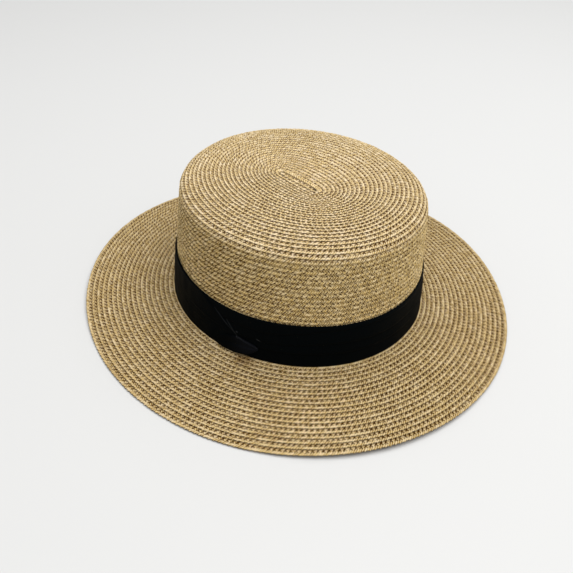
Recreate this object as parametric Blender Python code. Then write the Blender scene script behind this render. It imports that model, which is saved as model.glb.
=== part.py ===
"""Flat-topped straw sun hat with a pleated black ribbon band.

Metres, +Z up. The hat rests on its brim with the floor at Z = 0. +Y points to
the wearer's front, so -X is the wearer's left, where the ribbon is tied.
The crown and the brim are ovals: each is laid out as a round form by its mean
radius and then drawn out along Y.
"""
import math

import bmesh
import bpy

# Straw shell
STRAW = 0.0022
OVAL_EXTRA = 0.0053
OVAL_START = 0.030

# Crown: the mean radius of its outside, and heights above the floor
FOOT_RADIUS = 0.0921
TIP_RADIUS = 0.0848
DOME_RADIUS = 0.0799
CROWN_TOP = 0.1003
DOME_DROP = 0.0062
DOME_POWER = 6.8
# What follows from them: the dome's slope at its rim, and the crease below it
DOME_LEAN = math.atan(DOME_DROP * DOME_POWER / DOME_RADIUS)
CREASE_RADIUS = (TIP_RADIUS - DOME_RADIUS) / (1.0 - math.sin(DOME_LEAN))
SIDE_TOP = CROWN_TOP - DOME_DROP - CREASE_RADIUS * math.cos(DOME_LEAN)

# Brim, whose lowest waves are pressed flat on the floor by BRIM_PRESS
BRIM_WIDTH = 0.0662
BRIM_TOP_INSIDE = 0.0084
BRIM_PRESS = 0.0021
BRIM_EDGE_ROUND = 0.0008
BRIM_EDGE_LEVELS = (0.65, 0.35)
BRIM_SAG_POWER = 1.15
REST_LAND = 0.0080
# Each row: waves round the brim, height, direction of a crest in degrees
BRIM_WAVES = (
    (3, 0.0020, -5.0),
    (2, 0.0010, 118.0),
)

# Ribbon band, heights above the inside edge of the brim
SEAT_GAP = 0.0003
BAND_LOWER = 0.0004
BAND_HEIGHT = 0.0330
BAND_THICK = 0.0010
# Each row: share of the band's height, how far the pleat stands out
BAND_PLEATS = (
    (0.00, 0.0000),
    (0.05, 0.0005),
    (0.28, 0.0009),
    (0.33, 0.0002),
    (0.58, 0.0008),
    (0.63, 0.0001),
    (0.88, 0.0006),
    (0.93, 0.0003),
    (1.00, 0.0000),
)

# The tie on the wearer's left, in degrees round the crown
TIE_CENTRE = 190.0
TIE_SPAN = 19.0
TIE_HEIGHT = 0.0160
TIE_LOWER = 0.0012
TIE_THICK = 0.0016
# Each row: share of the tie's length, share of its height, lift of its middle
TIE_SHAPE = (
    (0.00, 0.30, 0.00),
    (0.12, 0.74, 0.35),
    (0.35, 1.00, 0.75),
    (0.65, 0.92, 1.00),
    (0.88, 0.70, 0.70),
    (1.00, 0.46, 0.10),
)
TIE_CROWN = 0.0012
# The diagonal lap that runs down into the tie
LAP_TOP_ANGLE = 170.5
LAP_LOW_ANGLE = 195.5
LAP_LIFT = 0.0008
LAP_FADE = 24.0
LAP_STEP = 1.2
LAP_REACH = 0.6
# How far the tie's pressed patch runs on past it, in degrees and band shares
PRESS_AROUND = (1.0, 4.0)
PRESS_ABOVE = (0.03, 0.16)

# Mesh
CROWN_STEPS = 96
BRIM_STEPS = 96
BAND_STEPS = 100
DOME_RINGS = 7
DOME_CROWDING = 0.6
CREASE_RINGS = 4
SIDE_RINGS = 3
BRIM_RINGS = 6
TIE_COLUMNS = 16
TIE_ROWS = 6
ANGLE_CROWDING = 0.50
MERGE = 1e-6
# The band is spun as a thin upright ring, whose two faces are then placed
INNER_FACE = 1.0
OUTER_FACE = 2.0


def clear_scene():
    for old in list(bpy.data.objects):
        bpy.data.objects.remove(old, do_unlink=True)


def material(name, colour, roughness):
    made = bpy.data.materials.new(name)
    made.use_nodes = True
    shader = made.node_tree.nodes["Principled BSDF"]
    shader.inputs["Base Color"].default_value = (*colour, 1.0)
    shader.inputs["Roughness"].default_value = roughness
    shader.inputs["Metallic"].default_value = 0.0
    return made


def smoothstep(low, high, value):
    share = min(1.0, max(0.0, (value - low) / (high - low)))
    return share * share * (3.0 - 2.0 * share)


def table_value(rows, share, column):
    for first, second in zip(rows, rows[1:]):
        if share <= second[0]:
            part = (share - first[0]) / (second[0] - first[0])
            return first[column] + (second[column] - first[column]) * part
    return rows[-1][column]


def oval_point(radius, angle, height):
    """A point of the oval whose mean radius is given, the long way along Y."""
    extra = OVAL_EXTRA / 2.0 * smoothstep(0.0, OVAL_START, radius)
    x = (radius - extra) * math.cos(angle)
    y = (radius + extra) * math.sin(angle)
    return x, y, height


def side_radius(height):
    """Mean radius of the crown's outside at a height on its side wall."""
    share = (height - BRIM_TOP_INSIDE) / (SIDE_TOP - BRIM_TOP_INSIDE)
    return FOOT_RADIUS + (TIP_RADIUS - FOOT_RADIUS) * share


def spin_profile(name, profile, steps, closed=True):
    """Turn a profile of (radius, height) pairs once round Z into a skin."""
    mesh = bpy.data.meshes.new(name)
    work = bmesh.new()
    verts = [work.verts.new((radius, 0.0, height)) for radius, height in profile]
    edges = [work.edges.new(pair) for pair in zip(verts, verts[1:])]
    if closed:
        edges.append(work.edges.new((verts[-1], verts[0])))
    bmesh.ops.spin(work, geom=verts + edges, cent=(0, 0, 0), axis=(0, 0, 1),
                   angle=math.tau, steps=steps, use_merge=True)
    bmesh.ops.remove_doubles(work, verts=work.verts, dist=MERGE)
    work.to_mesh(mesh)
    work.free()
    return mesh


def shape_points(mesh, rule):
    """Move each point by a rule of its radius, angle and height."""
    for vert in mesh.vertices:
        x, y, height = vert.co
        vert.co = rule(math.hypot(x, y), math.atan2(y, x), height)


def finish_mesh(mesh, smooth=True):
    work = bmesh.new()
    work.from_mesh(mesh)
    bmesh.ops.recalc_face_normals(work, faces=work.faces)
    work.to_mesh(mesh)
    work.free()
    for face in mesh.polygons:
        face.use_smooth = smooth


def add_object(name, mesh, made_of):
    mesh.name = name
    mesh.materials.append(made_of)
    made = bpy.data.objects.new(name, mesh)
    bpy.context.scene.collection.objects.link(made)
    return made


def crown_outline(inset):
    """Half outline of the crown from its middle to its foot, inset all over."""
    rim = DOME_RADIUS - inset * math.sin(DOME_LEAN)
    drop = DOME_DROP - inset * (1.0 - math.cos(DOME_LEAN))
    points = []
    for step in range(DOME_RINGS):
        share = (step / DOME_RINGS) ** DOME_CROWDING
        points.append((rim * share, CROWN_TOP - inset - drop * share ** DOME_POWER))
    centre = DOME_RADIUS - CREASE_RADIUS * math.sin(DOME_LEAN)
    bend = CREASE_RADIUS - inset
    for step in range(CREASE_RINGS + 1):
        turn = DOME_LEAN + (math.pi / 2.0 - DOME_LEAN) * step / CREASE_RINGS
        across = centre + bend * math.sin(turn)
        points.append((across, SIDE_TOP + bend * math.cos(turn)))
    foot = BRIM_TOP_INSIDE - STRAW
    for step in range(1, SIDE_RINGS + 1):
        height = SIDE_TOP + (foot - SIDE_TOP) * step / SIDE_RINGS
        points.append((side_radius(height) - inset, height))
    return points


def make_crown(made_of):
    outside = crown_outline(0.0)
    inside = crown_outline(STRAW)
    mesh = spin_profile("crown", outside + inside[::-1], CROWN_STEPS, closed=False)
    shape_points(mesh, oval_point)
    finish_mesh(mesh)
    return add_object("crown", mesh, made_of)


def brim_floor(share, angle):
    """Height of the brim's underside, laid flat where it meets the floor."""
    start = BRIM_TOP_INSIDE - STRAW
    sag = start * (1.0 - share ** BRIM_SAG_POWER)
    wave = 0.0
    lowest = 0.0
    for count, height, crest in BRIM_WAVES:
        wave += height * math.cos(count * (angle - math.radians(crest)))
        lowest += height
    rise = (wave + lowest - BRIM_PRESS) * share ** 2
    return max(0.0, sag + rise)


def brim_outline():
    """Radius and share of the thickness, out along the top and back."""
    inner = FOOT_RADIUS + SEAT_GAP
    outer = FOOT_RADIUS + BRIM_WIDTH
    rows = []
    for step in range(BRIM_RINGS + 1):
        share = step / BRIM_RINGS
        rows.append(inner + (outer - REST_LAND - inner) * share)
    rows.append(outer - BRIM_EDGE_ROUND)
    top = [(radius, 1.0) for radius in rows]
    edge = [(outer, level) for level in BRIM_EDGE_LEVELS]
    under = [(radius, 0.0) for radius in reversed(rows)]
    return top + edge + under


def make_brim(made_of):
    mesh = spin_profile("brim", brim_outline(), BRIM_STEPS)
    inner = FOOT_RADIUS + SEAT_GAP
    outer = FOOT_RADIUS + BRIM_WIDTH

    def place(radius, angle, level):
        share = min(1.0, max(0.0, (radius - inner) / (outer - inner)))
        height = brim_floor(share, angle) + STRAW * level
        return oval_point(radius, angle, height)

    shape_points(mesh, place)
    finish_mesh(mesh)
    return add_object("brim", mesh, made_of)


def crowd_angle(angle):
    """Draw the band's columns together near the tie."""
    return angle - ANGLE_CROWDING * math.sin(angle - math.radians(TIE_CENTRE))


def tie_cover(angle, share):
    """One where the tie presses on the band, nothing away from it."""
    away = abs(math.degrees(angle) % 360.0 - TIE_CENTRE)
    side = TIE_SPAN / 2.0
    across = 1.0 - smoothstep(side + PRESS_AROUND[0], side + PRESS_AROUND[1], away)
    top = (TIE_LOWER + TIE_HEIGHT) / BAND_HEIGHT
    up = 1.0 - smoothstep(top + PRESS_ABOVE[0], top + PRESS_ABOVE[1], share)
    return across * up


def lap_height(angle, share):
    """How far the folded end, cut off along a slant, lifts over the run."""
    degrees = math.degrees(angle) % 360.0
    slant = (LAP_LOW_ANGLE - LAP_TOP_ANGLE) * (1.0 - share) / LAP_REACH
    edge = LAP_TOP_ANGLE + slant
    over = 1.0 - smoothstep(edge - LAP_STEP, edge + LAP_STEP, degrees)
    fade = smoothstep(edge - LAP_FADE, edge - 2.0 * LAP_STEP, degrees)
    return LAP_LIFT * over * fade


def band_face(angle, share):
    """How far the band's outside stands from the crown."""
    pleat = table_value(BAND_PLEATS, share, 1)
    raised = pleat + lap_height(angle, share)
    return SEAT_GAP + BAND_THICK + raised * (1.0 - tie_cover(angle, share))


def make_hatband(made_of):
    outside = [(OUTER_FACE, row[0]) for row in BAND_PLEATS]
    inside = [(INNER_FACE, share) for share in (1.0, 0.5, 0.0)]
    mesh = spin_profile("hatband", outside + inside, BAND_STEPS)

    def place(face, angle, share):
        turn = crowd_angle(angle)
        height = BRIM_TOP_INSIDE + BAND_LOWER + BAND_HEIGHT * share
        out = band_face(turn, share) if face > INNER_FACE + 0.5 else SEAT_GAP
        return oval_point(side_radius(height) + out, turn, height)

    shape_points(mesh, place)
    finish_mesh(mesh)
    return add_object("hatband", mesh, made_of)


def make_band_tie(made_of):
    """The flat folded end that holds the band together."""
    work = bmesh.new()
    bmesh.ops.create_grid(work, x_segments=TIE_COLUMNS, y_segments=TIE_ROWS, size=0.5)
    seat = SEAT_GAP + BAND_THICK + SEAT_GAP
    back = list(work.verts)
    base = [tuple(vert.co) for vert in back]
    lifted = bmesh.ops.extrude_face_region(work, geom=list(work.faces))
    front = [item for item in lifted["geom"] if isinstance(item, bmesh.types.BMVert)]

    def place(vert, across, up, stand):
        share = across + 0.5
        half = TIE_HEIGHT / 2.0 * table_value(TIE_SHAPE, share, 1)
        angle = math.radians(TIE_CENTRE + TIE_SPAN * across)
        height = BRIM_TOP_INSIDE + BAND_LOWER + TIE_LOWER + TIE_HEIGHT / 2.0
        height += 2.0 * half * up
        vert.co = oval_point(side_radius(height) + seat + stand, angle, height)

    for vert, (across, up, _) in zip(back, base):
        place(vert, across, up, 0.0)
    for vert in front:
        across, up = vert.co.x, vert.co.y
        share = across + 0.5
        swell = TIE_CROWN * table_value(TIE_SHAPE, share, 2)
        stand = TIE_THICK + swell * math.cos(math.pi * up)
        place(vert, across, up, stand)
    mesh = bpy.data.meshes.new("band_tie")
    work.to_mesh(mesh)
    work.free()
    finish_mesh(mesh)
    return add_object("band_tie", mesh, made_of)


def main():
    clear_scene()
    straw = material("natural_straw_braid", (0.392, 0.287, 0.144), 0.72)
    ribbon = material("black_ribbon", (0.0045, 0.0048, 0.0050), 0.62)
    make_crown(straw)
    make_brim(straw)
    make_hatband(ribbon)
    make_band_tie(ribbon)


main()
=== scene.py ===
"""Looks of a flat-topped straw sun hat with a pleated black ribbon band.

The straw is one long plaited braid, sewn round and round from the middle of
the crown to the edge of the brim, each row's outer edge lying on the next one.
Metres, +Z up, +Y to the wearer's front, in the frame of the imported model.
"""
import math

import bmesh
import bpy
import numpy as np
from mathutils import Matrix, Vector


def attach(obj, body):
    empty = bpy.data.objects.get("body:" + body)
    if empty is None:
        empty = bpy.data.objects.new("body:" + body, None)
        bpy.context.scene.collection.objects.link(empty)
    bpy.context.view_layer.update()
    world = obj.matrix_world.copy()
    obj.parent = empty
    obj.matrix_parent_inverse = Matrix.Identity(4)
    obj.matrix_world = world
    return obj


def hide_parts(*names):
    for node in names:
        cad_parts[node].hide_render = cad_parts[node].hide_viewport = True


bl_info = {
    "name": "Braided Sun Hat",
    "version": (1, 0, 0),
    "blender": (4, 5, 0),
    "location": "View3D > Sidebar > Sun Hat",
    "description": "Builds a braided straw sun hat with a pleated ribbon band",
    "category": "Add Mesh",
}

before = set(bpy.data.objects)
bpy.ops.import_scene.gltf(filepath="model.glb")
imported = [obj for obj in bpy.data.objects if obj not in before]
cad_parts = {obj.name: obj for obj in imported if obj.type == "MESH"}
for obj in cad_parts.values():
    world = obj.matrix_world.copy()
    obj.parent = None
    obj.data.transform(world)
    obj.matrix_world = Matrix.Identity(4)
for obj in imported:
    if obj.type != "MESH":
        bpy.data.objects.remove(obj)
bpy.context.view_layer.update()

# Form of the crown and brim, as in the solids: mean radii and heights
OVAL_EXTRA = 0.0053
FOOT_RADIUS = 0.0921
TIP_RADIUS = 0.0848
DOME_RADIUS = 0.0799
CROWN_TOP = 0.1003
DOME_DROP = 0.0062
DOME_POWER = 6.8
DOME_LEAN = math.atan(DOME_DROP * DOME_POWER / DOME_RADIUS)
CREASE_RADIUS = (TIP_RADIUS - DOME_RADIUS) / (1.0 - math.sin(DOME_LEAN))
SIDE_TOP = CROWN_TOP - DOME_DROP - CREASE_RADIUS * math.cos(DOME_LEAN)
BRIM_WIDTH = 0.0662
BRIM_TOP_INSIDE = 0.0084
BRIM_PRESS = 0.0021
BRIM_SAG_POWER = 1.15
SHELL = 0.0022
# Points along the dome in the crown's outline
DOME_STEPS = 160
# How far the thinner braid lies under the solid's upper face at the edge
BRIM_LOWER = 0.0007
FOOT_BEND = 0.0012
BRIM_WAVES = ((3, 0.0020, -5.0), (2, 0.0010, 118.0))
# The side of the brim that turns up a little: place and half width in degrees
BRIM_LIFT = (324.0, 52.0, 0.0024)

# The slit that the first turns of the braid run along, in the middle of the tip
SLIT_HALF = 0.0150
SLIT_TURN = math.radians(-6.0)
SLIT_PLACE = (-0.0107, -0.0033)
# How sharply the rows turn at the slit's ends, and at the rim
SLIT_SHARP = (0.30, 3.0)
SLIT_FADE = 0.055
# The turn at which the braid starts, and how far it is tucked under there
SLIT_START = -0.46
SLIT_TUCK = 0.0006
# The turns over which the run back along the slit comes and goes, and its lift
RUN_BACK = ((0.20, 0.34), (0.68, 0.82))
SLIT_LIFT = 0.00055
# Within this way of the slit the straw lies level
FLAT_WAY = 0.006
# How far short of the foot's bend the crown's braid passes into the brim's
FOOT_PASS = 0.0005

# Where the rows of the brim step outwards, as shares of a turn, and the rows
# from the edge over which they come to do it
DRIFT_START = 0.72
DRIFT_END = 0.98
DRIFT_START_SHIFT = 0.258
DRIFT_ROWS = (28, 14)

# Cross-section of a braid row: share across its visible width, height in mm
BRAID_TOP = (
    (-0.24, -1.04),
    (0.02, -0.68),
    (0.14, -0.34),
    (0.27, -0.20),
    (0.40, -0.28),
    (0.50, -0.38),
    (0.60, -0.14),
    (0.74, 0.06),
    (0.88, -0.02),
    (0.985, -0.26),
)
BRAID_UNDER = (
    (0.94, -0.78),
    (0.30, -1.30),
)
# Pattern coordinates of the underside, which run on from the top's, and how the
# material turns them into shares across the row
UNDER_COORDS = (1.15, 1.75, 2.0)
UNDER_FROM = 1.12
UNDER_STRETCH = 0.11
UNDER_SHIFT = 1.22
# How much of the edge's scallop the outer points take
EDGE_FOLLOW = (0.45, 1.0, 0.9)
UNEVEN_RISE = 0.00008
UNEVEN_EDGE = 0.00007
MM = 0.001
FINE_STEP = 0.00085
STRAW_NAME = "natural_straw_braid_woven"
# The way to the wearer's right back, seen from above
RIGHT_BACK = (0.615, -0.787)
# How far that way, in metres from the middle, the painted lap shade on the side grows fainter
LAP_SHADE_FADE_REACH = (-0.055, 0.020)
# How far to the right front and to the right back the straw is painted with shade
SHADE_FRONT_REACH = (-0.010, 0.075)
SHADE_BACK_REACH = (0.0, 0.080)

# Ribbon band, heights above the inside edge of the brim
BAND_FOOT = 0.0004
BAND_HEIGHT = 0.0330
BAND_BACK = 0.0003
BAND_BASE = 0.0009
BAND_COLUMNS = 420
# How far below the band's top edge the finely meshed braid runs on
BAND_COVER = 1.5 * MM
# Fold lines from the top down: share of the band's height, depth in mm
PLEAT_LINES = (
    (0.90, 0.45),
    (0.56, 0.65),
    (0.33, 0.65),
)
PLEAT_STEPS = (0.12, 0.35, 0.62, 0.85, 0.97)
PLEAT_DRAW = 0.30

# The folded end of the ribbon: share of the band's height, place in degrees
LAP_LINE = (
    (0.00, 184.0),
    (0.25, 191.0),
    (0.40, 193.5),
    (0.53, 190.3),
    (1.00, 170.5),
)
LAP_START = 128.0
LAP_STAND = 0.00095
LAP_ROWS = 30
LAP_COLUMNS = 64

# The tie: place in degrees, height of its middle and half height, both in mm
TIE_CENTRE = 190.0
TIE_OUTLINE = (
    (180.4, 3.6, 3.4),
    (184.0, 5.8, 5.2),
    (190.0, 7.8, 6.9),
    (195.0, 8.0, 5.0),
    (199.6, 9.4, 1.6),
)
TIE_SEAT = 0.0016
# Where the tie grows paler with a painted reflection towards its free end, in mm round the foot
TIE_REFLECTION_FADE = (297.0, 315.0)
# Painted highlights where folds catch the light: ends in mm round the foot and
# above it, half width and strength
FOLD_HIGHLIGHTS = (
    (286.0, 28.2, 304.6, 15.6, 0.42, 0.45),
    (296.4, 23.6, 306.6, 13.6, 0.42, 0.60),
    (304.6, 17.9, 305.6, 17.5, 0.75, 0.95),
    (319.2, 17.4, 322.6, 15.9, 0.55, 0.95),
    (306.6, 14.4, 321.2, 10.2, 0.35, 0.30),
)
TIE_COLUMNS = 44
TIE_ROWS = 21

# Spacing of the ribbon's ribs and of its threads, and the tone of its worn parts
RIB_PITCH = 0.0009
THREAD_PITCH = 0.0005
WORN_TONE = 2.2

# Middle and reach of the painted shadow of the tie on the brim below it
TIE_SHADOW_PLACE = (-0.0900, -0.0242, 0.0085)
TIE_SHADOW_RADIUS = 0.0115

# Stage
FLOOR_HALF = 6.0
SKY_COLOUR = (1.0, 1.0, 1.0)
SKY_STRENGTH = 0.475
LIGHT_PANELS = (
    ("light_above", (0.25, -0.30, 1.9), (0.0, 0.0, 0.05), (2.0, 2.0), 47.6, (1.0, 1.0, 1.0)),
)
CAMERA_PLACE = (-0.31304, -0.21760, 0.32012)
CAMERA_AIM = (0.61946, 0.44925, -0.64377)
CAMERA_RIGHT = (0.61520, -0.78722, 0.04261)
CAMERA_LENS = 40.07


def sizes():
    return bpy.context.scene.sun_hat_sizes


def colours():
    return bpy.context.scene.sun_hat_colours


# Shape of the hat as a surface

def smooth(low, high, value):
    share = np.clip((value - low) / (high - low), 0.0, 1.0)
    return share * share * (3.0 - 2.0 * share)


def side_radius(height):
    share = (height - BRIM_TOP_INSIDE) / (SIDE_TOP - BRIM_TOP_INSIDE)
    return FOOT_RADIUS + (TIP_RADIUS - FOOT_RADIUS) * share


def brim_top(share, angle):
    """Height of the brim's upper face, at a share of the way out."""
    sag = (BRIM_TOP_INSIDE - SHELL) * (1.0 - share ** BRIM_SAG_POWER)
    wave = 0.0
    lowest = 0.0
    for count, height, crest in BRIM_WAVES:
        wave = wave + height * np.cos(count * (angle - math.radians(crest)))
        lowest += height
    floor = np.maximum(0.0, sag + (wave + lowest - BRIM_PRESS) * share ** 2)
    place, half, lift = BRIM_LIFT
    away = np.abs((np.degrees(angle) - place + 180.0) % 360.0 - 180.0)
    floor = floor + lift * (1.0 - smooth(0.0, half, away)) * share ** 2
    return floor + SHELL - BRIM_LOWER * share ** 2


def crown_meridian():
    """Mean radius and height of the crown's outside, from its middle down."""
    radii = list(np.linspace(0.0, DOME_RADIUS, DOME_STEPS + 1))
    heights = [CROWN_TOP - DOME_DROP * (r / DOME_RADIUS) ** DOME_POWER for r in radii]
    centre = DOME_RADIUS - CREASE_RADIUS * math.sin(DOME_LEAN)
    for turn in np.linspace(DOME_LEAN, math.pi / 2, 33)[1:]:
        radii.append(centre + CREASE_RADIUS * math.sin(turn))
        heights.append(SIDE_TOP + CREASE_RADIUS * math.cos(turn))
    foot = BRIM_TOP_INSIDE + FOOT_BEND
    for height in np.linspace(SIDE_TOP, foot, 60)[1:]:
        radii.append(side_radius(height))
        heights.append(height)
    for turn in np.linspace(0.0, math.pi / 2, 9)[1:]:
        radii.append(side_radius(foot) + FOOT_BEND * (1 - math.cos(turn)))
        heights.append(foot - FOOT_BEND * math.sin(turn))
    return np.array(radii), np.array(heights)


MERIDIAN_R, MERIDIAN_Z = crown_meridian()
MERIDIAN_WAY = np.concatenate(
    ([0.0], np.cumsum(np.hypot(np.diff(MERIDIAN_R), np.diff(MERIDIAN_Z)))))
FOOT_WAY = float(MERIDIAN_WAY[-1])
EDGE_WAY = FOOT_WAY + FOOT_RADIUS + BRIM_WIDTH - float(MERIDIAN_R[-1])


def way_at_height(height):
    """Way from the middle of the tip down to a height on the side wall."""
    return float(np.interp(-height, -MERIDIAN_Z, MERIDIAN_WAY))


def surface(way, angle):
    """Points of the hat's outside: way runs from the middle of the tip outwards."""
    inner = np.abs(way)
    radius = np.interp(inner, MERIDIAN_WAY, MERIDIAN_R)
    radius = radius + np.maximum(0.0, inner - FOOT_WAY)
    share = np.clip((radius - FOOT_RADIUS) / BRIM_WIDTH, 0.0, 1.0)
    height = np.where(inner > FOOT_WAY, brim_top(share, angle),
                      np.interp(inner, MERIDIAN_WAY, MERIDIAN_Z))
    radius = np.where(way < 0.0, -radius, radius)
    near = 1.0 - smooth(0.0, SLIT_FADE, inner)
    spread = smooth(0.0, DOME_RADIUS, inner)
    long_way = SLIT_HALF + (OVAL_EXTRA - SLIT_HALF) * spread
    sharp = SLIT_SHARP[0] + (SLIT_SHARP[1] - SLIT_SHARP[0]) * spread
    sine = np.sin(angle)
    drawn = sine * np.sqrt((1.0 + sharp ** 2) / (sine ** 2 + sharp ** 2))
    short = radius - OVAL_EXTRA / 2.0 * smooth(0.0, 0.030, inner)
    x = short * np.cos(angle)
    y = short * sine + long_way * drawn
    turn = SLIT_TURN * near
    off = np.clip(1.0 - inner / DOME_RADIUS, 0.0, 1.0)
    turned_x = x * np.cos(turn) - y * np.sin(turn) + SLIT_PLACE[0] * off
    turned_y = x * np.sin(turn) + y * np.cos(turn) + SLIT_PLACE[1] * off
    return np.stack((turned_x, turned_y, height), axis=-1)


def surface_normal(way, angle):
    step = 4e-5
    out = surface(way + step, angle) - surface(way - step, angle)
    turn = 2e-4
    along = surface(way, angle + turn) - surface(way, angle - turn)
    normal = np.cross(out, along)
    length = np.linalg.norm(normal, axis=-1, keepdims=True)
    normal = normal / np.maximum(length, 1e-15)
    flat = (np.abs(way) < FLAT_WAY)[..., None]
    return np.where(flat, np.array((0.0, 0.0, 1.0)), normal)


# The braid's way round the hat

def row_ways():
    """Way at which each row's outer edge lies, from the middle to the brim's edge."""
    chosen = sizes()
    ways = [EDGE_WAY, EDGE_WAY - chosen.edge_row]
    while ways[-1] > FOOT_WAY:
        ways.append(ways[-1] - chosen.brim_row)
    while ways[-1] > MERIDIAN_WAY[DOME_STEPS]:
        ways.append(ways[-1] - chosen.side_row)
    reach = ways[-1] - chosen.edge_row
    count = round(reach / chosen.tip_row)
    ways.extend([chosen.edge_row + reach * (1.0 - step / count) for step in range(1, count + 1)])
    return np.array([0.0] + ways[::-1])


class BraidPath:
    """The spiral that the braid follows, its place given in turns."""

    def __init__(self):
        self.ways = row_ways()
        self.rows = len(self.ways) - 1
        turns = np.linspace(SLIT_START, self.end_turn(), 720 * self.rows)
        middle = self.place(turns, np.full_like(turns, 0.5))
        steps = np.linalg.norm(np.diff(middle, axis=0), axis=1)
        self.turns = turns
        self.lengths = np.concatenate(([0.0], np.cumsum(steps)))

    def end_turn(self):
        return self.rows + DRIFT_END - 0.02 - DRIFT_START_SHIFT

    def level(self, turns):
        """Which row, counted from the middle, the braid's inner edge is at."""
        slit = -0.25 - 0.25 * np.cos(math.tau * turns)
        count = turns + DRIFT_START_SHIFT
        part = count - np.floor(count)
        drift = smooth(DRIFT_START, DRIFT_END, part)
        ring = DRIFT_START_SHIFT - 1.0 + drift - part
        share = smooth(self.rows - DRIFT_ROWS[0], self.rows - DRIFT_ROWS[1], turns)
        return turns + (1.0 - share) * slit + share * ring

    def way_of_level(self, level):
        index = np.arange(len(self.ways))
        inside = np.interp(level, index, self.ways)
        return np.where(level < 0.0, level * self.ways[1], inside)

    def way(self, turns, across):
        level = self.level(turns)
        inner = self.way_of_level(level)
        outer = self.way_of_level(level + 1.0)
        return inner + (outer - inner) * across

    def place(self, turns, across):
        return surface(self.way(turns, across), math.pi + math.tau * turns)

    def normal(self, turns, across):
        return surface_normal(self.way(turns, across), math.pi + math.tau * turns)

    def length_at_way(self, way):
        ways = self.way(self.turns, 0.5)
        return float(self.lengths[int(np.argmax(ways >= way))])


_kept = {}


def braid_path():
    """The path, worked out once for both the crown and the brim."""
    if "path" not in _kept:
        _kept["path"] = BraidPath()
    return _kept["path"]


def even_noise(seed, count):
    return np.random.default_rng(seed).uniform(-1.0, 1.0, count)


def braid_section(stitches):
    """Across-shares and heights of the cross-section at each stitch count."""
    chosen = sizes()
    top = np.array(BRAID_TOP)
    under = np.array(BRAID_UNDER)
    shares = np.concatenate((top[:, 0], under[:, 0]))
    heights = np.concatenate((top[:, 1], under[:, 1])) * MM
    whole = np.floor(stitches).astype(int)
    part = (stitches - whole)[:, None]
    raised = even_noise(11, whole.max() + 3)[whole][:, None]
    pushed = even_noise(23, whole.max() + 3)[whole][:, None]
    seen = smooth(-0.05, 0.12, shares) * (1.0 - smooth(0.985, 1.0, shares))
    seen[len(top):] = 0.0
    leg = np.abs(shares - 0.5)[None, :]
    relief = chosen.loop_relief * np.cos(math.tau * (part + leg))
    height = heights[None, :] + (relief + UNEVEN_RISE * raised) * seen[None, :]
    edge = np.zeros(len(shares))
    edge[len(top) - 2:len(top) + 1] = EDGE_FOLLOW
    scallop = chosen.scallop * np.cos(math.tau * part) + UNEVEN_EDGE * pushed
    across = shares[None, :] + scallop / chosen.brim_row * edge[None, :]
    return across, height


def tube_mesh(name, layer, points, coords, ring=False):
    """A closed strip: its grid of points has rows along it, columns round it."""
    rows, columns = points.shape[:2]
    work = bmesh.new()
    work.loops.layers.uv.new(layer)
    bmesh.ops.create_grid(work, x_segments=columns, y_segments=rows - 1, size=0.5,
                          calc_uvs=True)
    mesh = bpy.data.meshes.new(name)
    work.to_mesh(mesh)
    work.free()
    flat = np.zeros(len(mesh.vertices) * 3)
    mesh.vertices.foreach_get("co", flat)
    flat = flat.reshape(-1, 3)
    column = np.rint((flat[:, 0] + 0.5) * columns).astype(int)
    row = np.rint((flat[:, 1] + 0.5) * (rows - 1)).astype(int)
    mesh.vertices.foreach_set("co", points[row, column % columns].ravel())
    corner = np.zeros(len(mesh.loops), dtype=int)
    mesh.loops.foreach_get("vertex_index", corner)
    mesh.uv_layers[0].data.foreach_set("uv", coords[row[corner], column[corner]].ravel())
    order = np.argsort(row * (columns + 1) + column).reshape(rows, columns + 1)
    work = bmesh.new()
    work.from_mesh(mesh)
    work.verts.ensure_lookup_table()
    seam = {work.verts[last]: work.verts[first] for first, last in order[:, [0, -1]]}
    if ring:
        for last, first in zip(order[-1, :-1], order[0, :-1]):
            seam[work.verts[last]] = work.verts[first]
        seam[work.verts[order[-1, -1]]] = work.verts[order[0, 0]]
    bmesh.ops.weld_verts(work, targetmap=seam)
    bmesh.ops.holes_fill(work, edges=[edge for edge in work.edges if edge.is_boundary])
    bmesh.ops.recalc_face_normals(work, faces=work.faces)
    work.to_mesh(mesh)
    work.free()
    mesh.polygons.foreach_set("use_smooth", [True] * len(mesh.polygons))
    return mesh


def add_piece(name, mesh, made_of, node):
    mesh.name = name
    mesh.materials.append(made_of)
    made = bpy.data.objects.new(name, mesh)
    bpy.context.scene.collection.objects.link(made)
    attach(made, "root")
    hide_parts(node)
    return made


def braid_piece(name, start, end, spacing, made_of, node):
    """One length of the braid, from one length along it to another."""
    path = braid_path()
    steps = np.arange(math.ceil(start / spacing), math.floor(end / spacing) + 2)
    length = np.minimum(steps * spacing, path.lengths[-1])
    stitches = length / sizes().stitch
    turns = np.interp(length, path.lengths, path.turns)
    across, height = braid_section(stitches)
    # The run back along the slit lies over the first one, so both its edges are open
    back = smooth(*RUN_BACK[0], turns) * (1.0 - smooth(*RUN_BACK[1], turns))
    back = back[:, None]
    height = height + SLIT_LIFT * back * (1.0 - np.clip(across, 0.0, 1.0))
    across = across + (np.maximum(across, 0.0) - across) * back
    # The braid's start is tucked under the row that it meets
    height = height - SLIT_TUCK * (1.0 - smooth(-0.30, -0.20, turns))[:, None]
    turns = np.repeat(turns[:, None], across.shape[1], axis=1)
    points = path.place(turns, across) + path.normal(turns, across) * height[..., None]
    ring = np.array([row[0] for row in BRAID_TOP] + list(UNDER_COORDS))
    coords = np.zeros((len(length), len(ring), 2))
    coords[..., 0] = stitches[:, None]
    open_side = np.where(ring < 0.5, 1.0 - ring, ring)
    turned = (back > 0.5) * (ring < 1.0)
    coords[..., 1] = ring + (np.clip(open_side, 0.5, 0.98) - ring) * turned
    mesh = tube_mesh(name, "braid", points, coords)
    return add_piece(name, mesh, made_of, node)


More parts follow.
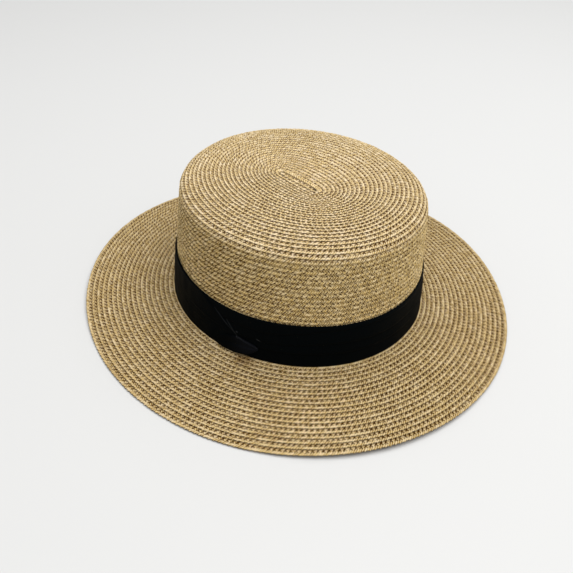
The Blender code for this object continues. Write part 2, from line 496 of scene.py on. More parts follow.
def build_braid(names, start, end, spacing, made_of, node):
    """The braid from one length to another, cut into pieces of like length."""
    cuts = np.linspace(start, end, len(names) + 1)
    for name, first, last in zip(names, cuts, cuts[1:]):
        braid_piece(name, first, last, spacing, made_of, node)


# Materials

class Wiring:
    """Short calls that add shader nodes and join them."""

    def __init__(self, name):
        self.made = bpy.data.materials.new(name)
        self.made.use_nodes = True
        self.tree = self.made.node_tree
        self.shader = self.tree.nodes["Principled BSDF"]

    def put(self, socket, value):
        if isinstance(value, bpy.types.NodeSocket):
            self.tree.links.new(value, socket)
        elif hasattr(value, "__len__") and len(value) == 3 and len(socket.default_value) == 4:
            socket.default_value = (*value, 1.0)
        else:
            socket.default_value = value

    def node(self, kind, settings_of=None, **inputs):
        made = self.tree.nodes.new(kind)
        for key, value in (settings_of or {}).items():
            setattr(made, key, value)
        for key, value in inputs.items():
            self.put(made.inputs[key.replace("_", " ")], value)
        return made

    def math(self, operation, *values):
        made = self.tree.nodes.new("ShaderNodeMath")
        made.operation = operation
        for socket, value in zip(made.inputs, values):
            self.put(socket, value)
        return made.outputs[0]

    def range(self, value, low, high, to_low=0.0, to_high=1.0):
        made = self.node("ShaderNodeMapRange", {"interpolation_type": "SMOOTHSTEP"},
                         Value=value, From_Min=low, From_Max=high,
                         To_Min=to_low, To_Max=to_high)
        return made.outputs[0]

    def mix(self, share, first, second, blend="MIX"):
        made = self.tree.nodes.new("ShaderNodeMix")
        made.data_type = "RGBA"
        made.blend_type = blend
        self.put(made.inputs[0], share)
        self.put(made.inputs[6], first)
        self.put(made.inputs[7], second)
        return made.outputs[2]

    def noise(self, vector, scale, detail=2.0, roughness=0.5):
        made = self.node("ShaderNodeTexNoise", Vector=vector, Scale=scale,
                         Detail=detail, Roughness=roughness)
        return made.outputs["Fac"]

    def random(self, vector):
        made = self.node("ShaderNodeTexWhiteNoise", {"noise_dimensions": "3D"}, Vector=vector)
        return made.outputs["Value"]

    def stroke(self, x, y, line):
        """A soft line in pattern millimetres: its ends, half width and strength."""
        x0, y0, x1, y1, half, strength = line
        reach = math.hypot(x1 - x0, y1 - y0)
        ux, uy = (x1 - x0) / reach, (y1 - y0) / reach
        go = self.math("MULTIPLY_ADD", y, uy, -x0 * ux - y0 * uy)
        go = self.math("ADD", self.math("MULTIPLY", x, ux), go)
        off = self.math("MULTIPLY_ADD", y, ux, x0 * uy - y0 * ux)
        off = self.math("SUBTRACT", self.math("MULTIPLY", x, uy), off)
        mask = self.range(self.math("ABSOLUTE", off), 0.0, half, strength, 0.0)
        mask = self.math("MULTIPLY", mask, self.range(go, -half, half))
        return self.math("MULTIPLY", mask, self.range(go, reach - half, reach + half, 1.0, 0.0))

    def vector(self, x, y, z=0.0):
        made = self.tree.nodes.new("ShaderNodeCombineXYZ")
        for socket, value in zip(made.inputs, (x, y, z)):
            self.put(socket, value)
        return made.outputs[0]


class StrawPattern(Wiring):
    """Where a point lies on the plait, and the masks of its gaps and laps."""

    def __init__(self, name):
        super().__init__(name)
        place = self.node("ShaderNodeUVMap", {"uv_map": "braid"}).outputs["UV"]
        split = self.node("ShaderNodeSeparateXYZ", Vector=place)
        self.along, self.round_it = split.outputs["X"], split.outputs["Y"]
        self.solid = self.node("ShaderNodeTexCoord").outputs["Object"]
        self.across = self.share_across()
        self.off = self.math("ABSOLUTE", self.math("SUBTRACT", self.across, 0.5))
        self.side = self.math("GREATER_THAN", self.across, 0.5)
        self.find_places()
        self.find_loops()

    def share_across(self):
        """Share across the row. The underside shows the same plait, turned over."""
        under = self.math("GREATER_THAN", self.round_it, UNDER_FROM)
        across = self.math("MULTIPLY_ADD", under, UNDER_STRETCH, 1.0)
        across = self.math("MULTIPLY", self.round_it, across)
        return self.math("SUBTRACT", across, self.math("MULTIPLY", under, UNDER_SHIFT))

    def find_places(self):
        """Mask of the crown's side, and the ways to the right back and right front."""
        where = self.node("ShaderNodeSeparateXYZ", Vector=self.solid)
        x, y, self.height = where.outputs["X"], where.outputs["Y"], where.outputs["Z"]
        upright = self.range(self.height, SIDE_TOP - 0.001, SIDE_TOP + 0.006, 1.0, 0.0)
        self.upright = self.math("MULTIPLY", upright, self.range(self.height, 0.012, 0.020))
        back = self.math("MULTIPLY", x, RIGHT_BACK[0])
        self.right_back = self.math("MULTIPLY_ADD", y, RIGHT_BACK[1], back)
        front = self.math("MULTIPLY", x, -RIGHT_BACK[1])
        self.right_front = self.math("MULTIPLY_ADD", y, RIGHT_BACK[0], front)

    def find_loops(self):
        """Loops of the plait, two to a stitch, meeting in a V along the middle."""
        place = self.vector(self.math("MULTIPLY", self.along, 1.3), self.across, self.side)
        self.wander = self.noise(place, 1.0, 1.0, 0.5)
        uneven = self.math("MULTIPLY", self.math("SUBTRACT", self.wander, 0.5), 0.6)
        loops = self.math("MULTIPLY", self.math("ADD", self.along, self.off), 2.0)
        self.loops = self.math("ADD", loops, uneven)
        self.ridge = self.math("MULTIPLY_ADD", self.turned(self.loops), 0.5, 0.5)
        self.loop_tone = self.tone_of(self.math("ADD", self.loops, 0.5), self.side, 3.0)
        self.gap_tone = self.tone_of(self.loops, self.side, 9.0)

    def turned(self, value):
        """A wave that is highest at each whole number."""
        return self.math("COSINE", self.math("MULTIPLY", value, math.tau))

    def tone_of(self, value, other, seed):
        """A tone of its own for each whole number below the value."""
        return self.random(self.vector(self.math("FLOOR", value), other, seed))

    def gaps(self):
        """Gaps between the loops, and a larger hole at each stitch in each cord, as a mask of
        painted shade.
        """
        beside = self.range(self.off, 0.30, 0.46, 0.2, 0.8)
        beside = self.math("MAXIMUM", self.range(self.off, 0.02, 0.16, 0.8, 0.2), beside)
        slot = self.range(self.ridge, 0.06, 0.42, 1.0, 0.0)
        uneven = self.range(self.gap_tone, 0.0, 0.8, 0.3, 1.0)
        gap = self.math("MULTIPLY", slot, self.math("MULTIPLY", beside, uneven))
        gap = self.math("MULTIPLY", gap, self.math("MULTIPLY_ADD", self.upright, -0.60, 1.0))
        cord = self.math("MULTIPLY_ADD", self.off, 1.1, self.along)
        cord = self.math("MULTIPLY_ADD", self.side, 0.5, cord)
        cord = self.math("MULTIPLY_ADD", self.wander, 0.5, cord)
        cord_tone = self.tone_of(self.math("ADD", cord, 0.5), self.side, 5.0)
        opened = self.math("MULTIPLY_ADD", self.upright, 0.12, self.turned(cord))
        opened = self.range(opened, 0.15, 0.75)
        opened = self.math("MULTIPLY", opened, self.range(cord_tone, 0.1, 0.6, 0.10, 1.0))
        # On the crown's side more of the plait's holes are painted with shade
        pricked = self.math("MULTIPLY", slot, self.range(self.gap_tone, 0.4, 0.8, 0.0, 0.85))
        opened = self.math("MAXIMUM", opened, self.math("MULTIPLY", pricked, self.upright))
        halfway = self.range(self.off, 0.32, 0.42, 1.0, 0.0)
        halfway = self.math("MULTIPLY", self.range(self.off, 0.05, 0.13), halfway)
        middle = self.range(self.off, 0.06, 0.22, 0.92, 0.0)
        level = self.math("SUBTRACT", 1.0, self.upright)
        place = self.math("ADD", self.math("MULTIPLY", halfway, self.upright),
                          self.math("MULTIPLY", middle, level))
        return self.math("MAXIMUM", gap, self.math("MULTIPLY", opened, place))

    def laps(self):
        """Shade of the lap, with a dark hole at most stitches."""
        stitch_tone = self.tone_of(self.math("ADD", self.along, 0.5), 7.0, 1.0)
        pulled = self.math("MULTIPLY_ADD", self.across, 0.9, self.along)
        pulled = self.turned(self.math("MULTIPLY_ADD", self.wander, 0.6, pulled))
        hole = self.range(stitch_tone, 0.0, 0.40, 0.62, 1.0)
        hole = self.math("MULTIPLY", self.range(pulled, 0.0, 0.62), hole)
        lap = self.range(self.across, 0.16, 0.44, 1.0, 0.0)
        lap = self.math("MULTIPLY", lap, self.math("MULTIPLY_ADD", hole, 0.62, 0.38))
        hole = self.math("MULTIPLY", hole, self.range(self.across, 0.35, 0.55, 1.0, 0.0))
        # On the crown's side the painted lap shade grows fainter towards the right back, where
        # the light comes from
        lap_shade_fade = self.range(self.right_back, *LAP_SHADE_FADE_REACH, 0.10, 0.62)
        lap_shade_fade = self.math("MULTIPLY", lap_shade_fade, self.upright)
        shown = self.math("SUBTRACT", 1.0, lap_shade_fade)
        return self.math("MULTIPLY", self.math("MAXIMUM", lap, hole), shown)

    def edge_shade(self):
        """The cut edge of the row, which shows from the side, as a mask of painted shade."""
        closed = self.range(self.round_it, UNDER_FROM, 1.20, 1.0, 0.0)
        return self.math("MULTIPLY", self.range(self.round_it, 0.99, 1.08), closed)

    def tint(self, colour, share, tone):
        return self.mix(share, colour, self.mix(1.0, colour, tone, "MULTIPLY"))

    def area_tints(self, colour):
        """The colour with the painted shade of the areas of the hat."""
        chosen = colours()
        # Painted shadow of the tie on the straw just below it
        away = self.node("ShaderNodeVectorMath", {"operation": "DISTANCE"})
        self.put(away.inputs[0], self.solid)
        self.put(away.inputs[1], TIE_SHADOW_PLACE)
        tie_shadow = self.range(away.outputs["Value"], 0.002, TIE_SHADOW_RADIUS, 0.88, 0.0)
        colour = self.tint(colour, tie_shadow, chosen.tie_shadow)
        # Painted shade: the crown's side is a little darker and yellower than the tip, and the
        # brim darker than the crown
        colour = self.tint(colour, self.upright, chosen.side_shade_tint)
        brim = self.range(self.height, 0.011, 0.018, 1.0, 0.0)
        colour = self.tint(colour, brim, chosen.brim_shade_tint)
        # Painted shade: towards the wearer's right front and right back the straw is a little
        # darker
        right_shade = self.range(self.right_back, *SHADE_BACK_REACH, 0.0, 0.65)
        level = self.math("SUBTRACT", 1.0, self.upright)
        right_shade = self.math("MULTIPLY", right_shade, level)
        right_shade = self.math("MAXIMUM", self.range(self.right_front, *SHADE_FRONT_REACH), right_shade)
        return self.tint(colour, right_shade, chosen.far_shade_tint)


def straw_ramp(w, tone):
    """Dark, middle and pale straw by the tone of a loop."""
    chosen = colours()
    ramp = w.node("ShaderNodeValToRGB", Fac=tone)
    stops = ramp.color_ramp.elements
    stops[0].position = 0.15
    stops[0].color = (*chosen.straw_shade, 1.0)
    stops[1].position = 0.85
    stops[1].color = (*chosen.pale_straw_and_highlight, 1.0)
    stops.new(0.50).color = (*chosen.straw, 1.0)
    return ramp.outputs["Color"]


def straw_material():
    """Plaited paper straw: two cords of slanting loops and a sewn, shaded lap."""
    chosen = colours()
    w = StrawPattern(STRAW_NAME)
    gap = w.gaps()
    # Fibres run along each loop
    along_loop, across_loop = w.math("MULTIPLY", w.loops, 14.0), w.math("MULTIPLY", w.off, 5.0)
    fibre = w.noise(w.vector(along_loop, across_loop, w.side), 1.0, 2.0, 0.6)
    blotch = w.noise(w.solid, 26.0, 2.0, 0.5)
    tone = w.math("MULTIPLY_ADD", w.loop_tone, 0.75, w.math("MULTIPLY", blotch, 0.25))
    # Painted highlight: the crests of the loops are lightened towards the pale straw
    lit = w.math("MULTIPLY", w.range(w.ridge, 0.30, 0.95), 0.85)
    colour = w.mix(lit, straw_ramp(w, tone), chosen.pale_straw_and_highlight)
    colour = w.mix(w.math("MULTIPLY", fibre, 0.16), colour, chosen.straw_shade)
    # Painted shade in the gaps between the loops and on the rows' cut edges
    colour = w.mix(gap, colour, chosen.gap_shade)
    colour = w.mix(w.edge_shade(), colour, chosen.gap_shade)
    colour = w.mix(w.laps(), colour, chosen.lap_shade)
    w.put(w.shader.inputs["Base Color"], w.area_tints(colour))
    # Relief
    raised = w.math("MULTIPLY_ADD", w.ridge, 0.75, w.math("MULTIPLY", fibre, 0.25))
    raised = w.math("SUBTRACT", raised, w.math("MULTIPLY", gap, 0.5))
    bump = w.node("ShaderNodeBump", Height=raised, Strength=0.9, Distance=0.0004)
    w.put(w.shader.inputs["Normal"], bump.outputs["Normal"])
    rough = w.math("MULTIPLY_ADD", w.loop_tone, 0.12, 0.50)
    rough = w.math("MULTIPLY_ADD", w.math("SUBTRACT", 1.0, w.ridge), 0.20, rough)
    w.put(w.shader.inputs["Roughness"], rough)
    w.shader.inputs["Specular IOR Level"].default_value = 0.03
    return w.made


def ribbon_material(name, colour, sheen, reflection_fade=None):
    """Black grosgrain: fine ribs across the ribbon, a soft sheen on the folds."""
    w = Wiring(name)
    place = w.node("ShaderNodeUVMap", {"uv_map": "ribbon"}).outputs["UV"]
    split = w.node("ShaderNodeSeparateXYZ", Vector=place)
    along, across = split.outputs["X"], split.outputs["Y"]
    rib = w.math("SINE", w.math("MULTIPLY", along, math.tau / RIB_PITCH))
    thread = w.math("SINE", w.math("MULTIPLY", across, math.tau / THREAD_PITCH))
    fuzz = w.noise(w.node("ShaderNodeTexCoord").outputs["Object"], 1400.0, 2.0, 0.6)
    worn = w.noise(w.node("ShaderNodeTexCoord").outputs["Object"], 60.0, 3.0, 0.5)
    lighter = tuple(part * WORN_TONE for part in colour)
    shade = w.mix(w.math("MULTIPLY", fuzz, 0.8), colour, lighter)
    shade = w.mix(w.range(worn, 0.5, 0.8, 0.0, 0.35), shade, lighter)
    x, y = w.math("MULTIPLY", along, 1000.0), w.math("MULTIPLY", across, 1000.0)
    # Painted reflection: the tie turns from the ribbon's black to its own paler, bluish black
    # towards its free end
    if reflection_fade:
        shade = w.mix(w.range(x, *reflection_fade), colours().ribbon, shade)
    # Painted highlights on the folds
    for line in FOLD_HIGHLIGHTS:
        shade = w.mix(w.stroke(x, y, line), shade, colours().fold)
    height = w.math("ADD", w.math("MULTIPLY", rib, 0.35), w.math("MULTIPLY", thread, 0.12))
    height = w.math("ADD", height, w.math("MULTIPLY", fuzz, 0.3))
    bump = w.node("ShaderNodeBump", Height=height, Strength=0.45, Distance=0.00012)
    w.put(w.shader.inputs["Base Color"], shade)
    w.put(w.shader.inputs["Normal"], bump.outputs["Normal"])
    w.put(w.shader.inputs["Roughness"], w.range(worn, 0.3, 0.75, 0.55, 0.70))
    w.shader.inputs["Sheen Weight"].default_value = sheen
    w.shader.inputs["Sheen Roughness"].default_value = 0.45
    w.shader.inputs["Specular IOR Level"].default_value = 0.02
    return w.made


def floor_material():
    chosen = colours()
    w = Wiring("pale_floor")
    solid = w.node("ShaderNodeTexCoord").outputs["Object"]
    cloud = w.noise(solid, 3.0, 2.0, 0.5)
    colour = tuple(chosen.floor)
    dull = tuple(part * 0.985 for part in colour)
    w.put(w.shader.inputs["Base Color"], w.mix(cloud, dull, colour))
    w.shader.inputs["Roughness"].default_value = 0.55
    w.shader.inputs["Specular IOR Level"].default_value = 0.25
    return w.made


# Ribbon

def band_point(angle, height, stand):
    """A point that stands off the crown's side wall, by its height above it."""
    level = BRIM_TOP_INSIDE + height
    radius = side_radius(level) + stand
    extra = OVAL_EXTRA / 2.0
    return np.stack(((radius - extra) * np.cos(angle),
                     (radius + extra) * np.sin(angle), level), axis=-1)


def from_tie(angle):
    """Degrees round the crown from the middle of the tie."""
    return (np.degrees(angle) - TIE_CENTRE + 180.0) % 360.0 - 180.0


def pleat_section(angle):
    """Heights and stand-offs of the pleated band, down its outside and up its back."""
    away = np.abs(from_tie(angle))
    draw_in = 1.0 - smooth(8.0, 40.0, away)
    heights = []
    stands = []

    def put(height, stand):
        heights.append(height + 0.0 * angle)
        stands.append(stand + 0.0 * angle)

    wobble = 0.10 * MM * np.sin(angle * 9.0 + 0.8) + 0.07 * MM * np.sin(angle * 17.0)
    top = BAND_FOOT + BAND_HEIGHT + 0.25 * MM * np.sin(angle * 5.0 + 1.1)
    put(top - 0.2 * MM, BAND_BACK)
    put(top, BAND_BACK + 0.3 * MM)
    put(top - 0.25 * MM, BAND_BASE)
    upper = top - 0.25 * MM
    for index, (share, depth) in enumerate(PLEAT_LINES):
        wander = 0.30 * MM * np.sin(angle * 3.0 + 2.1 * index)
        wander = wander + 0.16 * MM * np.sin(angle * 8.0 + 1.3 * index)
        line = BAND_FOOT + BAND_HEIGHT * share + wander
        line = line + (BAND_FOOT + BAND_HEIGHT * 0.30 - line) * PLEAT_DRAW * draw_in
        swell = depth * MM * (1.0 + 0.25 * np.sin(angle * 6.0 + 1.9 * index)) + wobble
        for part in PLEAT_STEPS:
            put(upper + (line - upper) * part, BAND_BASE + swell * part ** 0.8)
        put(line - 0.05 * MM, BAND_BASE + swell - 0.16 * MM)
        put(line + 0.10 * MM, BAND_BASE + 0.25 * swell)
        put(line + 0.45 * MM, BAND_BASE - 0.05 * MM)
        upper = line + 0.20 * MM
    low = BAND_FOOT + 0.10 * MM * np.sin(angle * 4.0)
    for part in PLEAT_STEPS:
        put(upper + (low - upper) * part, BAND_BASE + 0.45 * MM * part + wobble)
    put(low, BAND_BASE + 0.2 * MM)
    put(low + 0.1 * MM, BAND_BACK)
    put(low + BAND_HEIGHT * 0.5, BAND_BACK)
    return np.stack(heights, axis=1), np.stack(stands, axis=1)


def band_mesh():
    """The pleated ribbon, once round the crown."""
    angle = np.linspace(0.0, math.tau, BAND_COLUMNS + 1)
    height, stand = pleat_section(angle)
    around = np.repeat(angle[:, None], height.shape[1], axis=1)
    points = band_point(around, height, stand)
    coords = np.zeros((*height.shape[:1], height.shape[1] + 1, 2))
    coords[..., 0] = angle[:, None] * FOOT_RADIUS
    coords[..., 1] = np.concatenate((height, height[:, :1]), axis=1)
    return tube_mesh("hatband_pleats", "ribbon", points, coords, ring=True)


def lap_edge(height):
    """Where the slanting fold of the ribbon's end lies, in degrees."""
    shares = np.array([row[0] for row in LAP_LINE])
    turns = np.array([row[1] for row in LAP_LINE])
    return np.interp((height - BAND_FOOT) / BAND_HEIGHT, shares, turns)


def lap_mesh():
    """The smooth folded end that lies over the pleats, cut off on a slant."""
    down = np.linspace(1.0, 0.0, LAP_ROWS)
    height = BAND_FOOT + BAND_HEIGHT * (1.012 * down - 0.006)
    run = np.concatenate((np.linspace(0.0, 0.94, LAP_COLUMNS), (0.965, 0.98, 0.99, 0.996, 1.0)))
    edge = lap_edge(height)
    degrees = LAP_START + (edge - LAP_START)[None, :] * run[:, None]
    angle = np.radians(degrees)
    short_of_edge = (edge[None, :] - degrees) * FOOT_RADIUS * math.pi / 180.0
    rise = smooth(LAP_START, LAP_START + 16.0, degrees)
    stand = BAND_BASE - 0.3 * MM + LAP_STAND * rise
    # Creases fan out from the tie, and one runs beside the slanting fold
    aside = (TIE_CENTRE - degrees) * FOOT_RADIUS * math.pi / 180.0
    above = (height - BAND_FOOT - 0.25 * BAND_HEIGHT)[None, :]
    ray = np.arctan2(above, aside + 0.004)
    reach = np.exp(-np.hypot(aside, above) / 0.030) * rise
    stand = stand + 0.22 * MM * np.cos(ray * 11.0) * reach
    stand = stand + 0.06 * MM * np.sin(degrees * 0.9)
    crease = np.exp(-((short_of_edge - 3.2 * MM) / (0.55 * MM)) ** 2)
    upper_part = smooth(0.35, 0.55, (height - BAND_FOOT) / BAND_HEIGHT)[None, :]
    stand = stand + 0.28 * MM * crease * upper_part
    thick = 0.45 * MM
    ending = np.sqrt(np.clip(1.0 - ((run - 0.965) / 0.035).clip(0.0, 1.0) ** 2, 0.0, 1.0))
    half = thick / 2.0 * ending[:, None]
    middle = stand - thick / 2.0
    outside = band_point(angle, height[None, :] + 0.0 * angle, middle + half)
    inside = band_point(angle, height[None, :] + 0.0 * angle, middle - half)
    points = np.concatenate((outside, inside[:, ::-1]), axis=1)
    along = angle * FOOT_RADIUS
    up = height[None, :] + 0.0 * angle
    along = np.concatenate((along, along[:, ::-1], along[:, :1]), axis=1)
    up = np.concatenate((up, up[:, ::-1], up[:, :1]), axis=1)
    return tube_mesh("hatband_lap", "ribbon", points, np.stack((along, up), axis=-1))


def tie_mesh():
    """The flat folded tongue that holds the pleats together."""
    share = np.concatenate(((0.0, 0.015, 0.04), np.linspace(0.08, 0.92, TIE_COLUMNS),
                            (0.96, 0.985, 1.0)))
    table = np.array(TIE_OUTLINE)
    degrees = table[0, 0] + (table[-1, 0] - table[0, 0]) * share
    centre = np.interp(degrees, table[:, 0], table[:, 1]) * MM
    half = np.interp(degrees, table[:, 0], table[:, 2]) * MM
    half = half * np.sqrt(np.clip(1.0 - (2.0 * share - 1.0) ** 14, 0.0, 1.0))
    turn = np.linspace(0.0, math.pi, TIE_ROWS)
    up = np.cos(turn)
    height = centre[:, None] + half[:, None] * up[None, :]
    plump = np.sin(turn)[None, :] ** 0.35
    swell = (0.55 + 0.75 * np.sin(math.pi * share) ** 0.7)[:, None]
    # One half is folded over the other along a line just above the middle
    fold = 0.12 + 0.35 * (share - 0.5)[:, None]
    over = 1.0 - smooth(-0.05, 0.04, up[None, :] - fold)
    dip = np.exp(-((up[None, :] - fold) / 0.10) ** 2)
    stand = TIE_SEAT + MM * (0.35 + swell * plump * (0.75 + 0.45 * over) - 0.25 * dip)
    pinch = 0.10 * MM * np.sin(share * 21.0)[:, None] * plump * up[None, :]
    stand = stand + pinch
    back = TIE_SEAT + 0.0 * height
    angle = np.repeat(np.radians(degrees)[:, None], TIE_ROWS, axis=1)
    outside = band_point(angle, height, stand)
    inside = band_point(angle, height, back)
    points = np.concatenate((outside, inside[:, ::-1]), axis=1)
    along = angle * FOOT_RADIUS
    along = np.concatenate((along, along[:, ::-1], along[:, :1]), axis=1)
    level = np.concatenate((height, height[:, ::-1], height[:, :1]), axis=1)
    return tube_mesh("band_tie_folded", "ribbon", points, np.stack((along, level), axis=-1))


# Stage

def light_panel(name, place, aim, size, power, colour):
    made = bpy.data.objects.new(name, bpy.data.lights.new(name, "AREA"))
    made.data.shape = "RECTANGLE"
    made.data.size, made.data.size_y = size
    made.data.energy = power
    made.data.color = colour
    made.location = place
    made.rotation_euler = (Vector(aim) - Vector(place)).to_track_quat("-Z", "Y").to_euler()
    bpy.context.scene.collection.objects.link(made)


def make_camera():
    made = bpy.data.objects.new("camera", bpy.data.cameras.new("camera"))
    made.data.lens = CAMERA_LENS
    made.data.sensor_width = 36.0
    made.data.clip_start = 0.01
    made.data.clip_end = 50.0
    aim = Vector(CAMERA_AIM).normalized()
    right = Vector(CAMERA_RIGHT)
    right = (right - aim * right.dot(aim)).normalized()
    turned = Matrix((right, right.cross(aim), -aim)).transposed()
    made.matrix_world = Matrix.Translation(CAMERA_PLACE) @ turned.to_4x4()
    bpy.context.scene.collection.objects.link(made)
    bpy.context.scene.camera = made


# What a user would change

class SunHatSizes(bpy.types.PropertyGroup):
    """Sizes of the braid and of the ribbon's finish."""

    tip_row: bpy.props.FloatProperty(
        name="Row on the tip", default=0.00330, min=0.002, max=0.006, unit="LENGTH",
        precision=5, description="Visible width of a braid row on the crown's flat top")
    side_row: bpy.props.FloatProperty(
        name="Row on the side", default=0.00345, min=0.002, max=0.006, unit="LENGTH",
        precision=5, description="Visible width of a braid row on the crown's side")
    brim_row: bpy.props.FloatProperty(
        name="Row on the brim", default=0.00354, min=0.002, max=0.006, unit="LENGTH",
        precision=5, description="Visible width of a braid row on the brim")
    edge_row: bpy.props.FloatProperty(
        name="Row at the edge", default=0.0042, min=0.002, max=0.006, unit="LENGTH",
        precision=5, description="Width of the outermost row, which nothing covers")
    stitch: bpy.props.FloatProperty(
        name="Stitch", default=0.00325, min=0.002, max=0.006, unit="LENGTH", precision=5,
        description="Length of one sewing stitch along the braid")
    loop_relief: bpy.props.FloatProperty(
        name="Loop relief", default=0.00013, min=0.0, max=0.0005, unit="LENGTH",
        precision=5, description="Height of the plaited loops")
    scallop: bpy.props.FloatProperty(
        name="Scallop", default=0.00020, min=0.0, max=0.0005, unit="LENGTH",
        precision=5, description="How far the outer edge of a row waves at each stitch")
    sheen: bpy.props.FloatProperty(
        name="Ribbon sheen", default=0.004, min=0.0, max=1.0, subtype="FACTOR",
        description="Soft shine of the ribbon's weave seen along its folds")


class SunHatColours(bpy.types.PropertyGroup):
    """Colours of the straw, the ribbon and the floor."""

    straw: bpy.props.FloatVectorProperty(
        name="Straw", default=(0.680, 0.478, 0.170), min=0.0, max=1.0,
        subtype="COLOR", description="Middle tone of the straw")
    # Pale straw, also painted as a highlight on the crests of the loops
    pale_straw_and_highlight: bpy.props.FloatVectorProperty(
        name="Pale straw", default=(0.972, 0.793, 0.525), min=0.0, max=1.0,
        subtype="COLOR", description="Lightest loops of the straw")
    straw_shade: bpy.props.FloatVectorProperty(
        name="Dark straw", default=(0.380, 0.225, 0.040), min=0.0, max=1.0,
        subtype="COLOR", description="Darkest loops of the straw")
    # Painted shade in the gaps between the loops and on the rows' cut edges
    gap_shade: bpy.props.FloatVectorProperty(
        name="Gaps", default=(0.064, 0.024, 0.0), min=0.0, max=1.0,
        subtype="COLOR", description="Gaps between the loops")
    # Painted shade on the crown's side, with a yellower tint
    side_shade_tint: bpy.props.FloatVectorProperty(
        name="Side tone", default=(0.94, 0.905, 0.76), min=0.0, max=1.0,
        subtype="COLOR", description="Tint of the straw on the crown's side against the tip's")
    # Painted shade on the brim
    brim_shade_tint: bpy.props.FloatVectorProperty(
        name="Brim tone", default=(0.80, 0.775, 0.70), min=0.0, max=1.0,
        subtype="COLOR", description="Tint of the brim's straw against the crown's")
    # Painted shade towards the wearer's right front and right back
    far_shade_tint: bpy.props.FloatVectorProperty(
        name="Far tone", default=(0.885, 0.885, 0.875), min=0.0, max=1.0,
        subtype="COLOR", description="Tint of the straw at the wearer's right front")
    # Painted shadow of the tie on the brim's straw
    tie_shadow: bpy.props.FloatVectorProperty(
        name="Glue spot", default=(0.50, 0.42, 0.33), min=0.0, max=1.0,
        subtype="COLOR", description="Tint of the brim's straw just below the tie")
    lap_shade: bpy.props.FloatVectorProperty(
        name="Under the lap", default=(0.068, 0.024, 0.0), min=0.0, max=1.0,
        subtype="COLOR", description="Straw in the shade of the row that overlaps it")
    ribbon: bpy.props.FloatVectorProperty(
        name="Ribbon", default=(0.0005, 0.0011, 0.0014), min=0.0, max=1.0,
        subtype="COLOR", description="Black of the pleated ribbon")
    # Painted highlight where a fold catches the light
    fold: bpy.props.FloatVectorProperty(
        name="Folds", default=(0.030, 0.031, 0.033), min=0.0, max=1.0,
        subtype="COLOR", description="Ribbon where a fold catches the light")
    # Black of the tie, with a painted bluish reflection
    tie: bpy.props.FloatVectorProperty(
        name="Tie", default=(0.0031, 0.0035, 0.0048), min=0.0, max=1.0,
        subtype="COLOR", description="Black of the smooth folded tie")
    floor: bpy.props.FloatVectorProperty(
        name="Floor", default=(0.638, 0.638, 0.630), min=0.0, max=1.0,
        subtype="COLOR", description="Pale floor that the hat stands on")


class SUNHAT_OT_crown_braid(bpy.types.Operator):
    """Build the braid of the tip and of the crown's side"""

    bl_idname = "sun_hat.crown_braid"
    bl_label = "Crown Braid"

    def execute(self, context):
        path = braid_path()
        straw = straw_material()
        band_top = path.length_at_way(way_at_height(BRIM_TOP_INSIDE + BAND_HEIGHT - BAND_COVER))
        foot = path.length_at_way(FOOT_WAY - FOOT_PASS)
        names = ("crown_braid_tip", "crown_braid_shoulder", "crown_braid_side")
        build_braid(names, 0.0, band_top, FINE_STEP, straw, "crown")
        build_braid(("crown_braid_foot",), band_top, foot, sizes().stitch, straw, "crown")
        return {"FINISHED"}


class SUNHAT_OT_brim_braid(bpy.types.Operator):
    """Build the braid of the brim, out to the end that is sewn down at its edge"""

    bl_idname = "sun_hat.brim_braid"
    bl_label = "Brim Braid"

    def execute(self, context):
        straw = bpy.data.materials.get(STRAW_NAME)
        if straw is None:
            raise RuntimeError("build the crown's braid first, because the brim shares its straw")
        path = braid_path()
        foot = path.length_at_way(FOOT_WAY - FOOT_PASS)
        names = ("brim_braid_inner", "brim_braid_middle", "brim_braid_edge")
        build_braid(names, foot, float(path.lengths[-1]), FINE_STEP, straw, "brim")
        return {"FINISHED"}


class SUNHAT_OT_hatband(bpy.types.Operator):
    """Build the pleated ribbon band with its smooth folded end"""

    bl_idname = "sun_hat.hatband"
    bl_label = "Ribbon Band"

    def execute(self, context):
        work = bmesh.new()
        for part in (band_mesh(), lap_mesh()):
            work.from_mesh(part)
            bpy.data.meshes.remove(part)
        mesh = bpy.data.meshes.new("hatband_ribbon")
        work.to_mesh(mesh)
        work.free()
        made_of = ribbon_material("black_ribbon_grosgrain", colours().ribbon, sizes().sheen)
        made = add_piece("hatband_ribbon", mesh, made_of, "hatband")
        return {"FINISHED"}


class SUNHAT_OT_band_tie(bpy.types.Operator):
    """Build the flat folded tongue on the wearer's left"""

    bl_idname = "sun_hat.band_tie"
    bl_label = "Band Tie"

    def execute(self, context):
        made_of = ribbon_material("black_ribbon_smooth", colours().tie, sizes().sheen, TIE_REFLECTION_FADE)
        made = add_piece("band_tie_folded", tie_mesh(), made_of, "band_tie")
        return {"FINISHED"}


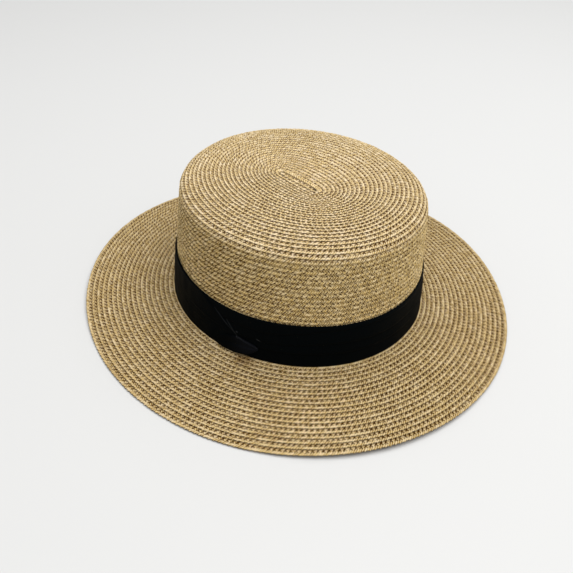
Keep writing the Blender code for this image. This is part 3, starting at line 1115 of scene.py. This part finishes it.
class SUNHAT_OT_stage(bpy.types.Operator):
    """Set up the pale floor, the soft light and the camera"""

    bl_idname = "sun_hat.stage"
    bl_label = "Stage"

    def execute(self, context):
        work = bmesh.new()
        bmesh.ops.create_grid(work, x_segments=8, y_segments=8, size=FLOOR_HALF)
        mesh = bpy.data.meshes.new("floor")
        work.to_mesh(mesh)
        work.free()
        mesh.materials.append(floor_material())
        floor = bpy.data.objects.new("floor", mesh)
        context.scene.collection.objects.link(floor)
        world = bpy.data.worlds.new("soft_daylight")
        world.use_nodes = True
        background = world.node_tree.nodes["Background"]
        background.inputs["Color"].default_value = (*SKY_COLOUR, 1.0)
        background.inputs["Strength"].default_value = SKY_STRENGTH
        context.scene.world = world
        for panel in LIGHT_PANELS:
            light_panel(*panel)
        make_camera()
        context.scene.view_settings.view_transform = "Standard"
        return {"FINISHED"}


class SUNHAT_PT_panel(bpy.types.Panel):
    """Steps and sizes of the sun hat"""

    bl_idname = "SUNHAT_PT_panel"
    bl_label = "Sun Hat"
    bl_space_type = "VIEW_3D"
    bl_region_type = "UI"
    bl_category = "Sun Hat"

    def draw(self, context):
        for made in OPERATORS:
            self.layout.operator(made.bl_idname)
        for group in (context.scene.sun_hat_sizes, context.scene.sun_hat_colours):
            box = self.layout.box()
            for name in type(group).__annotations__:
                box.prop(group, name)


OPERATORS = (
    SUNHAT_OT_crown_braid,
    SUNHAT_OT_brim_braid,
    SUNHAT_OT_hatband,
    SUNHAT_OT_band_tie,
    SUNHAT_OT_stage,
)
CLASSES = (SunHatSizes, SunHatColours, *OPERATORS, SUNHAT_PT_panel)


def register():
    for made in CLASSES:
        bpy.utils.register_class(made)
    bpy.types.Scene.sun_hat_sizes = bpy.props.PointerProperty(type=SunHatSizes)
    bpy.types.Scene.sun_hat_colours = bpy.props.PointerProperty(type=SunHatColours)


def unregister():
    del bpy.types.Scene.sun_hat_colours
    del bpy.types.Scene.sun_hat_sizes
    for made in reversed(CLASSES):
        bpy.utils.unregister_class(made)


def main():
    register()
    bpy.ops.sun_hat.crown_braid()
    bpy.ops.sun_hat.brim_braid()
    bpy.ops.sun_hat.hatband()
    bpy.ops.sun_hat.band_tie()
    bpy.ops.sun_hat.stage()


if __name__ == "__main__":
    main()
